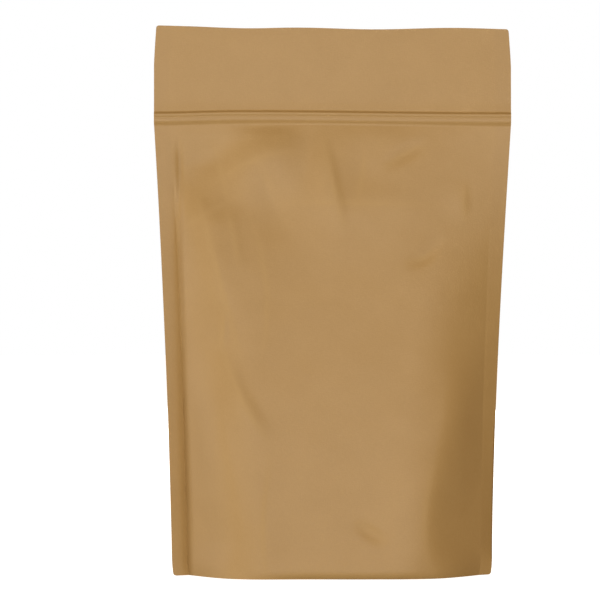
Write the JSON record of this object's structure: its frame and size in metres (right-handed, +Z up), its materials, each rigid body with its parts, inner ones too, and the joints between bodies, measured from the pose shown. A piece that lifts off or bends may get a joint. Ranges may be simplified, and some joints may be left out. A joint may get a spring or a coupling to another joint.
{
  "type": "stand-up pouch of wheat flour",
  "caption": "Shut, full stand-up pouch of wheat flour in plain brown paper film, with side seals, a press zip across the neck, a flat header and a gusset base.",
  "frame": {"origin": "on the floor under the middle of the pouch", "axes": "+Z up, the front panel faces -Y, +X to the right of someone who looks at the front"},
  "size_m": [0.17, 0.0522, 0.2617],
  "materials": {
    "kraft_paper_film": "matt brown paper laminate with fine fibres and a faint satin sheen"
  },
  "bodies": {
    "root": {"pouch": "kraft_paper_film"}
  },
  "joints": []
}
